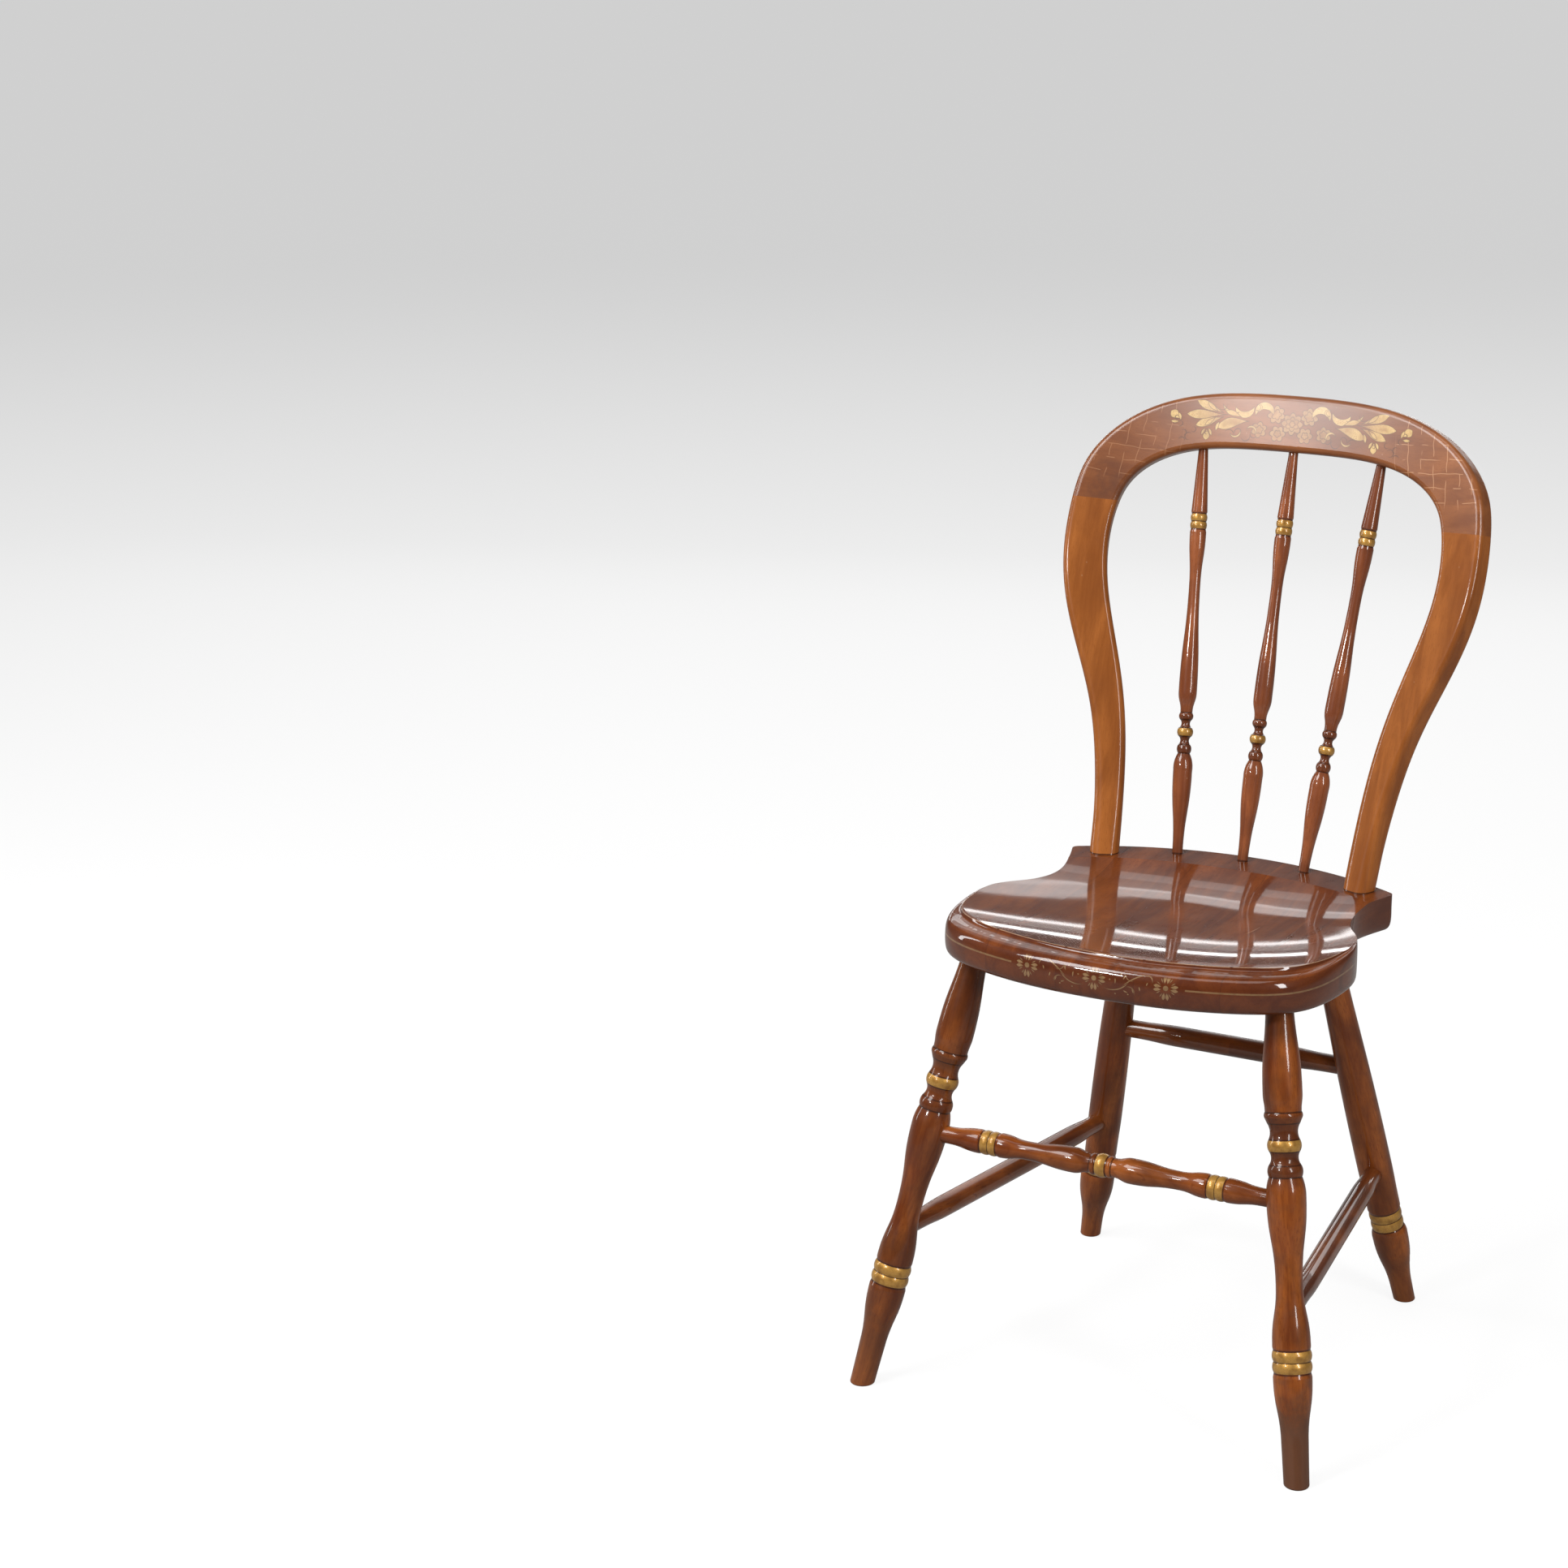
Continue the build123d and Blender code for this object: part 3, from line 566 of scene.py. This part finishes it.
def latticeMask(tree, drawing, look):
    # thin pale lines scratched in a loose lattice over both ends of the crest
    slanted = {"Vector": drawing, "Angle": look["slant"]}
    bent = put(tree, "ShaderNodeVectorRotate", slanted, rotation_type="Z_AXIS")
    along, across = split(tree, bent.outputs[0])[:2]
    waver = calc(tree, "MULTIPLY_ADD", noise(tree, drawing, 0.05, 1.0), look["waver"], look["waver"] * -0.5)
    lines = 0.0
    for run, other in ((along, across), (across, along)):
        shifted = calc(tree, "DIVIDE", calc(tree, "ADD", run, waver), look["pitch"])
        away = product(tree, calc(tree, "PINGPONG", shifted, 0.5), look["pitch"])
        row = calc(tree, "FLOOR", calc(tree, "ADD", shifted, 0.5))
        # every line breaks off here and there, each at places of its own
        gap = noise(tree, combine(tree, product(tree, row, 3.7), product(tree, other, 0.055), 0.0), 1.0, 1.0)
        line = ramp(tree, away, look["thick"], look["thick"] * 0.35)
        lines = calc(tree, "MAXIMUM", lines, product(tree, line, ramp(tree, gap, 0.46, 0.52)))
    x, rise = split(tree, drawing)[:2]
    ends = product(tree, ramp(tree, x, *look["across"]), ramp(tree, rise, *look["rise"]))
    return product(tree, lines, ends)


lattice = {"slant": -0.10, "pitch": 13.5, "thick": 0.50, "waver": 5.0, "color": (0.50, 0.26, 0.13, 1.0),
           "left": 0.30, "right": 0.62, "across": (106.0, 112.0), "rise": (362.0, 372.0)}
leftEndPatch = {"place": (-0.180, 0.0, 0.798), "radius": 0.030, "strength": 0.75,
          "color": (0.090, 0.030, 0.014, 1.0)}


def crestMaterial():
    material, tree, position = startMaterial("crestLacquer")
    x, y, z = split(tree, position)
    above = calc(tree, "SUBTRACT", z, crestLook["seatTop"])
    rise = calc(tree, "DIVIDE", above, math.cos(math.radians(crestLook["rake"])) / 1000)
    drawing = combine(tree, product(tree, calc(tree, "ABSOLUTE", x), 1000.0), rise, 0.0)
    color, roughness, height = lacquerTone(tree, position, combine(tree, z, y, x), crestLook)
    # darker over the left end
    front = combine(tree, x, 0.0, z)
    away = vecCalc(tree, "LENGTH", vecCalc(tree, "SUBTRACT", front, leftEndPatch["place"]))
    dark = product(tree, ramp(tree, away, leftEndPatch["radius"], leftEndPatch["radius"] * 0.3), leftEndPatch["strength"])
    cloudy = product(tree, dark, ramp(tree, noise(tree, position, 40.0, 4.0, 0.6), 0.3, 0.6))
    color = blend(tree, cloudy, color, leftEndPatch["color"])
    # the stencil, on the front face alone
    normal = put(tree, "ShaderNodeNewGeometry").outputs["Normal"]
    facing = ramp(tree, split(tree, normal)[1], *crestLook["facing"])
    drawn = (0.0, 0.0)
    for centre, radius, lobes, turn, depth in crestBlossoms:
        head = useGroup(tree, blossom, Drawing=drawing, Centre=flat(centre), Radius=radius,
                        Lobes=lobes, Turn=turn, Depth=depth)
        drawn = layOver(tree, drawn, head["Inside"], crestLook["blossomTone"], crestLook["blossomRim"])
    drawn = layCurls(tree, drawing, drawn, crestScrolls, tone=crestLook["scrollTone"])
    drawn = layPetals(tree, drawing, drawn, crestLeaves)
    gilt, ink = inkCurls(tree, drawing, drawn, crestInk)
    gilt, ink = product(tree, gilt, facing), product(tree, ink, facing)
    strength = product(tree, ramp(tree, x, -0.05, 0.05, lattice["left"], lattice["right"]), facing)
    scratched = product(tree, latticeMask(tree, drawing, lattice), strength)
    color = blend(tree, scratched, color, lattice["color"])
    color, roughness, metallic = gild(tree, position, gilt, color, roughness, crestLook)
    color = blend(tree, product(tree, ink, crestLook["inkStrength"]), color, crestLook["ink"])
    finishMaterial(tree, color, roughness, height, crestLook, metallic)
    return material


assign(crestMaterial(), "crest_rail")

dowelLook = dict(turnedLook, dark=(0.40, 0.24, 0.12, 1.0), light=(0.58, 0.40, 0.22, 1.0), coat=0.0, rough=0.6,
                 clouding=0.1, cloud=(0.35, 0.22, 0.12, 1.0))


def dowelMaterial():
    material, tree, position = startMaterial("bareMaple")
    color, roughness, height = lacquerTone(tree, position, position, dowelLook)
    finishMaterial(tree, color, roughness, height, dowelLook)
    return material


assign(dowelMaterial(), "left_crest_dowels", "right_crest_dowels")
print("back finished")

seatLook = dict(turnedLook, dark=(0.074, 0.014, 0.002, 1.0), light=(0.172, 0.042, 0.007, 1.0),
                streaks=0.9, flecks=0.7, cloud=(0.066, 0.014, 0.003, 1.0), clouding=0.40,
                rough=0.45, specular=0.08, coat=0.95, coatRough=0.06, bump=0.035, waves=0.5, age=0.3,
                giltBright=(0.25, 0.150, 0.070, 1.0), giltDull=(0.17, 0.095, 0.042, 1.0),
                giltWear=0.5, giltMetal=0.1, inkStrength=0.5,
                boardWidth=76.0, joint=(0.045, 0.012, 0.005, 1.0), jointStrength=0.6,
                # side: painted shade on the sides of the seat, darker than the top
                side=(0.060, 0.011, 0.003, 1.0), sideShadeStrength=0.45, facing=(0.80, 0.60),
                apronFrom=(0.414, 0.416), apronFront=(-0.06, -0.08),
                # the pale rim colour is a painted highlight along the front rim, partly rubbed lacquer; the
                # scratch uses it too
                paleWearAndHighlight=(0.55, 0.36, 0.22, 1.0), arrisRadius=0.0013, rim=(0.4469, 0.4480))
# petal and ray: distance of the root from the centre, length, width
rosette = {"height": 433.5, "spacing": 67.3, "petal": (3.9, 7.3, 1.5), "ray": (5.2, 4.6, 0.42), "centre": 2.5}
stripe = {"from": 84.0, "to": 170.0, "low": 432.3, "high": 433.9, "drop": 0.6, "strength": 0.7}
# vine between two rosettes, in mm from the inner one and from their line
vineCurls = (  # centre, radius, middle of the arc, half of it, thickness
    ((15.9, 12.7), 20.8, 291.0, 36.0, 1.05),
    ((62.0, -37.0), 48.2, 117.0, 19.0, 1.05),
    ((50.3, 3.8), 4.7, 66.0, 74.0, 0.9),
    ((35.5, 8.0), 5.6, 236.0, 62.0, 0.7),
    ((33.5, -8.6), 5.6, 52.0, 60.0, 0.7),
)
vineLeaves = (  # root, angle, length, width, bend, skew, fade
    ((15.3, 0.4), 90.0, 1.6, 0.8, 0.0, 1.0, 0.0),
    ((20.5, -2.0), 84.0, 5.2, 0.62, 0.8, 1.0, 0.0),
    ((25.4, 6.2), 90.0, 1.7, 0.8, 0.0, 1.0, 0.0),
    ((28.0, 2.6), 66.0, 5.0, 0.62, 0.8, 1.0, 0.0),
    ((36.5, 8.8), 20.0, 4.6, 0.62, -0.8, 1.0, 0.0),
    ((44.0, 9.8), 34.0, 3.6, 0.62, 0.6, 1.0, 0.0),
    ((51.0, 3.2), 240.0, 3.6, 0.6, 0.5, 1.0, 0.0),
    ((20.5, -10.6), 300.0, 1.5, 0.7, 0.0, 1.0, 0.0),
    ((28.5, -7.0), 330.0, 4.4, 0.6, 0.6, 1.0, 0.0),
    ((36.5, -4.4), 300.0, 4.4, 0.6, -0.6, 1.0, 0.0),
    ((43.0, -1.6), 292.0, 4.2, 0.6, -0.6, 1.0, 0.0),
    ((33.0, -11.0), 90.0, 1.5, 0.75, 0.0, 1.0, 0.0),
)
# in mm on the plan of the seat, shown only where the dish is above these heights in m
scratch = {"start": (74.5, -45.0), "angle": 74.0, "length": 27.0, "width": 0.35, "bend": 3.0, "strength": 0.6,
           "above": (0.425, 0.430)}


def rosetteDrawing(tree, across, up, drawn):
    # eightfold: four split petals on the axes, a pair of thin rays between, a round centre
    foldedX, foldedY = calc(tree, "ABSOLUTE", across), calc(tree, "ABSOLUTE", up)
    longer, shorter = calc(tree, "MAXIMUM", foldedX, foldedY), calc(tree, "MINIMUM", foldedX, foldedY)
    octant = combine(tree, longer, shorter, 0.0)
    start, length, width = rosette["petal"]
    rayStart, rayLength, rayWidth = rosette["ray"]
    aslant = (math.cos(math.radians(31)), math.sin(math.radians(31)))
    drawn = layPetals(tree, octant, drawn, (
        ((start, 1.2), 6.0, length, width, 0.0, 1.3, 0.0),
        ((rayStart * aslant[0], rayStart * aslant[1]), 33.0, rayLength, rayWidth, 0.0, 1.2, 0.0),
    ), rim=0.3)
    head = useGroup(tree, blossom, Drawing=octant, Radius=rosette["centre"], Lobes=8.0, Depth=0.06)
    return layOver(tree, drawn, head["Inside"], 1.0, 0.45)


def apronMasks(tree, x, z, facing):
    # rosettes, vines and pinstripe on the front of the plank; returns gilt and ink
    height = calc(tree, "MULTIPLY_ADD", z, 1000.0, -rosette["height"])
    across = product(tree, x, 1000.0)
    folded = calc(tree, "ABSOLUTE", across)
    turn = calc(tree, "ROUND", calc(tree, "DIVIDE", folded, rosette["spacing"]))
    nearest = calc(tree, "MINIMUM", product(tree, turn, rosette["spacing"]), rosette["spacing"])
    drawn = rosetteDrawing(tree, calc(tree, "SUBTRACT", folded, nearest), height, (0.0, 0.0))
    vine = combine(tree, folded, height, 0.0)
    drawn = layCurls(tree, vine, drawn, vineCurls, rim=0.2)
    gilt, ink = layPetals(tree, vine, drawn, vineLeaves, rim=0.2)
    sag = product(tree, ramp(tree, folded, stripe["from"], stripe["to"]), stripe["drop"])
    line = calc(tree, "MULTIPLY_ADD", z, 1000.0, sag)
    band = useGroup(tree, paintedBand, Along=line, From=stripe["low"], To=stripe["high"])["Mask"]
    starts = ramp(tree, folded, stripe["from"], stripe["from"] + 0.8, 0.0, stripe["strength"])
    gilt = calc(tree, "MAXIMUM", gilt, product(tree, band, starts))
    return product(tree, gilt, facing), product(tree, ink, facing)


def seatMaterial():
    material, tree, position = startMaterial("seatLacquer")
    x, y, z = split(tree, position)
    width = seatLook["boardWidth"] / 1000
    board = calc(tree, "FLOOR", calc(tree, "MULTIPLY_ADD", x, 1 / width, 0.5))
    # each board shows another part of the grain
    sideways = calc(tree, "MULTIPLY_ADD", board, 0.173, x)
    lengthways = calc(tree, "MULTIPLY_ADD", board, 0.61, y)
    grain = combine(tree, sideways, z, lengthways)
    color, roughness, height = lacquerTone(tree, position, grain, seatLook)
    # glue lines between the boards
    across = calc(tree, "PINGPONG", calc(tree, "MULTIPLY_ADD", x, 1 / width, 0.5), 0.5)
    fromJoint = product(tree, across, width * 1000)
    joint = product(tree, ramp(tree, fromJoint, 0.5, 0.1), seatLook["jointStrength"])
    color = blend(tree, joint, color, seatLook["joint"])
    # painted shade: the sides darker than the top, and the stencil on the front of the apron
    normal = put(tree, "ShaderNodeNewGeometry").outputs["Normal"]
    facing = ramp(tree, split(tree, normal)[2], *seatLook["facing"])
    color = blend(tree, product(tree, facing, seatLook["sideShadeStrength"]), color, seatLook["side"])
    above = product(tree, facing, ramp(tree, z, *seatLook["apronFrom"]))
    apron = product(tree, above, ramp(tree, y, *seatLook["apronFront"]))
    gilt, ink = apronMasks(tree, x, z, apron)
    color, roughness, metallic = gild(tree, position, gilt, color, roughness, seatLook)
    color = blend(tree, product(tree, ink, seatLook["inkStrength"]), color, seatLook["joint"])
    # painted highlight along the front rim, partly lacquer rubbed pale
    rounded = put(tree, "ShaderNodeBevel", {"Radius": seatLook["arrisRadius"]}, samples=6).outputs[0]
    edge = ramp(tree, vecCalc(tree, "DOT_PRODUCT", rounded, normal), 0.985, 0.88)
    edge = product(tree, edge, ramp(tree, fromJoint, 0.9, 1.6))
    edge = product(tree, edge, ramp(tree, z, *seatLook["rim"]))
    rimHighlightAndWear = product(tree, edge, ramp(tree, noise(tree, position, 30.0, 3.0), 0.3, 0.6, 0.45, 0.95))
    color = blend(tree, rimHighlightAndWear, color, seatLook["paleWearAndHighlight"])
    # one long scratch in the dish
    plan = combine(tree, product(tree, x, 1000.0), product(tree, y, 1000.0), 0.0)
    mark = useGroup(tree, petal, Drawing=plan, Root=flat(scratch["start"]), Angle=scratch["angle"],
                    Length=scratch["length"], Width=scratch["width"], Bend=scratch["bend"],
                    Skew=1.0)["Inside"]
    scored = product(tree, filled(tree, mark, 3.0), ramp(tree, z, *scratch["above"]))
    color = blend(tree, product(tree, scored, scratch["strength"]), color, seatLook["paleWearAndHighlight"])
    finishMaterial(tree, color, roughness, height, seatLook, metallic)
    return material


assign(seatMaterial(), "seat_board_outer_left", "seat_board_left", "seat_board_centre", "seat_board_right",
       "seat_board_outer_right")
print("seat finished")

# the floor glows from glowNear beside the chair to glowFar in the distance, where it meets the backdrop
studio = {"floorSize": 120.0, "floorColor": (0.24, 0.23, 0.22, 1.0), "shown": (0.13, 0.13, 0.13, 1.0),
          "glowNear": 0.86, "glowFar": 0.58, "near": 0.2, "far": 9.0,
          "glossShare": 0.10, "soft": 0.40, "backdrop": 0.62}
bpy.ops.mesh.primitive_plane_add(size=studio["floorSize"], location=(0, 0, 0))
floor = bpy.context.object
floor.name = "studioFloor"


def floorMaterial():
    # a darker floor for the light that falls on the chair, a pale one where it is seen
    material = bpy.data.materials.new("paleFloor")
    material.use_nodes = True
    tree = material.node_tree
    tree.nodes.clear()
    dim = put(tree, "ShaderNodeBsdfDiffuse", {"Color": studio["floorColor"]})
    pale = put(tree, "ShaderNodeBsdfDiffuse", {"Color": studio["shown"]})
    away = vecCalc(tree, "LENGTH", put(tree, "ShaderNodeTexCoord").outputs["Object"])
    tone = ramp(tree, away, studio["near"], studio["far"], studio["glowNear"], studio["glowFar"])
    glow = put(tree, "ShaderNodeEmission", {"Color": (1.0, 1.0, 1.0, 1.0), "Strength": tone})
    both = put(tree, "ShaderNodeAddShader", {0: pale.outputs[0], 1: glow.outputs[0]})
    rays = put(tree, "ShaderNodeLightPath").outputs
    gloss = product(tree, rays["Is Glossy Ray"], studio["glossShare"])
    direct = calc(tree, "ADD", rays["Is Camera Ray"], rays["Is Transmission Ray"])
    seen = calc(tree, "ADD", direct, gloss, clamp=True)
    mixed = put(tree, "ShaderNodeMixShader", {0: seen, 1: dim.outputs[0], 2: both.outputs[0]})
    put(tree, "ShaderNodeOutputMaterial", {"Surface": mixed.outputs[0]})
    return material


floor.data.materials.append(floorMaterial())

world = bpy.data.worlds.new("studio")
bpy.context.scene.world = world
world.use_nodes = True
worldTree = world.node_tree
worldTree.nodes.clear()
lightPath = put(worldTree, "ShaderNodeLightPath").outputs


def worldLight(color, strength):
    return put(worldTree, "ShaderNodeBackground", {"Color": color, "Strength": strength}).outputs[0]


soft = worldLight((1.0, 0.99, 0.98, 1.0), studio["soft"])
pale = worldLight((1.0, 1.0, 1.0, 1.0), studio["backdrop"])
dimmed = worldLight((1.0, 1.0, 1.0, 1.0), studio["backdrop"] * studio["glossShare"])  # for the lacquer
inner = put(worldTree, "ShaderNodeMixShader", {0: lightPath["Is Glossy Ray"], 1: soft, 2: dimmed})
direct = calc(worldTree, "ADD", lightPath["Is Camera Ray"], lightPath["Is Transmission Ray"], clamp=True)
shown = put(worldTree, "ShaderNodeMixShader", {0: direct, 1: inner.outputs[0], 2: pale})
put(worldTree, "ShaderNodeOutputWorld", {"Surface": shown.outputs[0]})
print("studio set")

# lamps stand round the seat: bearing from the front in degrees (left is negative), elevation, distance
lampTarget = Vector((0.0, 0.0, 0.45))
lamps = {
    "keyLeft": {"bearing": -40.0, "elevation": 46.0, "distance": 3.2, "size": (1.3, 1.3), "power": 66.0},
    "fillRight": {"bearing": 62.0, "elevation": 28.0, "distance": 3.2, "size": (0.5, 1.8), "power": 56.0},
    "overhead": {"bearing": 0.0, "elevation": 82.0, "distance": 3.0, "size": (2.0, 1.2), "power": 18.0},
    "stripLeft": {"bearing": -80.0, "elevation": 18.0, "distance": 2.6, "size": (0.26, 1.8), "power": 15.0},
    "sheenPanel": {"bearing": -22.1, "elevation": 26.1, "distance": 3.09, "size": (0.4, 0.26), "power": 30.0},
    "backHigh": {"bearing": 201.8, "elevation": 42.0, "distance": 3.6, "size": (4.4, 1.5), "power": 10.0},
    "backMiddle": {"bearing": 201.8, "elevation": 29.5, "distance": 3.6, "size": (4.4, 0.9), "power": 10.5},
    "backEdge": {"bearing": 201.8, "elevation": 21.4, "distance": 3.6, "size": (4.4, 0.30), "power": 7.5},
    "backSlot": {"bearing": 201.8, "elevation": 11.2, "distance": 3.6, "size": (4.4, 0.07), "power": 3.8},
    "backGlow": {"bearing": 201.8, "elevation": 9.6, "distance": 3.6, "size": (4.4, 0.20), "power": 1.6},
    "backLow": {"bearing": 201.8, "elevation": 5.9, "distance": 3.6, "size": (4.4, 0.07), "power": 7.5},
}


def outward(bearing, elevation):
    # unit vector away from the chair
    level = math.cos(elevation)
    return Vector((math.sin(bearing) * level, -math.cos(bearing) * level, math.sin(elevation)))


for name, lamp in lamps.items():
    data = bpy.data.lights.new(name, "AREA")
    data.shape = "RECTANGLE"
    data.size, data.size_y = lamp["size"]
    data.energy = lamp["power"]
    item = bpy.data.objects.new(name, data)
    bpy.context.scene.collection.objects.link(item)
    away = outward(math.radians(lamp["bearing"]), math.radians(lamp["elevation"]))
    item.location = lampTarget + away * lamp["distance"]
    item.rotation_euler = away.to_track_quat("Z", "Y").to_euler()
print("lamps set")

# angles in radians
cameraSetup = {"place": (1.1378, -2.8462, 1.4187), "azimuth": 0.5053748, "elevation": 0.2754722,
               "roll": -0.0025244, "lens": 77.55, "sensor": 36.0, "clip": (0.1, 200.0)}
cameraData = bpy.data.cameras.new("mainCamera")
cameraData.lens = cameraSetup["lens"]
cameraData.sensor_width = cameraSetup["sensor"]
cameraData.clip_start, cameraData.clip_end = cameraSetup["clip"]
mainCamera = bpy.data.objects.new("mainCamera", cameraData)
bpy.context.scene.collection.objects.link(mainCamera)
azimuth, roll = cameraSetup["azimuth"], cameraSetup["roll"]
back = outward(azimuth, cameraSetup["elevation"])
right = Vector((math.cos(azimuth), math.sin(azimuth), 0.0))
up = back.cross(right)
turnedRight = right * math.cos(roll) + up * math.sin(roll)
turnedUp = up * math.cos(roll) - right * math.sin(roll)
turn = Matrix((turnedRight, turnedUp, back)).transposed()
mainCamera.matrix_world = Matrix.Translation(cameraSetup["place"]) @ turn.to_4x4()
bpy.context.scene.camera = mainCamera
bpy.context.scene.view_settings.view_transform = "Standard"
print("camera set")
